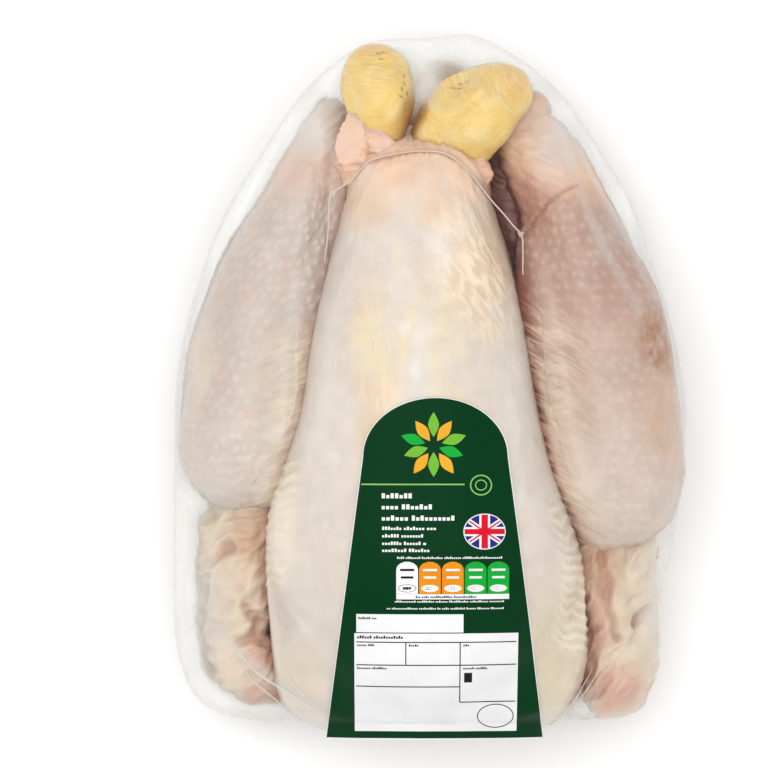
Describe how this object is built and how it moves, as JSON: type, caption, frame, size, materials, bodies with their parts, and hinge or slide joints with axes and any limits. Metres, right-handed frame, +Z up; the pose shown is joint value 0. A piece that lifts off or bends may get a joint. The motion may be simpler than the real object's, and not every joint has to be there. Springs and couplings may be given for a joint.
{
  "type": "whole raw chicken in a clear bag",
  "caption": "Whole raw chicken lying on its back, legs tied at the vent, sealed in a clear close-fitting film bag with an arched paper label over the breast.",
  "frame": {"origin": "middle of the pack's outline, on the flat face that it rests on", "axes": "+Z up through the breast, +Y from the neck end to the tied legs, +X to the right seen from above with the legs at the top"},
  "size_m": [0.2124, 0.2906, 0.1204],
  "materials": {
    "bagged_bird": "clear film over pale raw skin",
    "label_paper": "satin printed paper"
  },
  "bodies": {
    "root": {"bag": "bagged_bird", "label": "label_paper"}
  },
  "joints": []
}
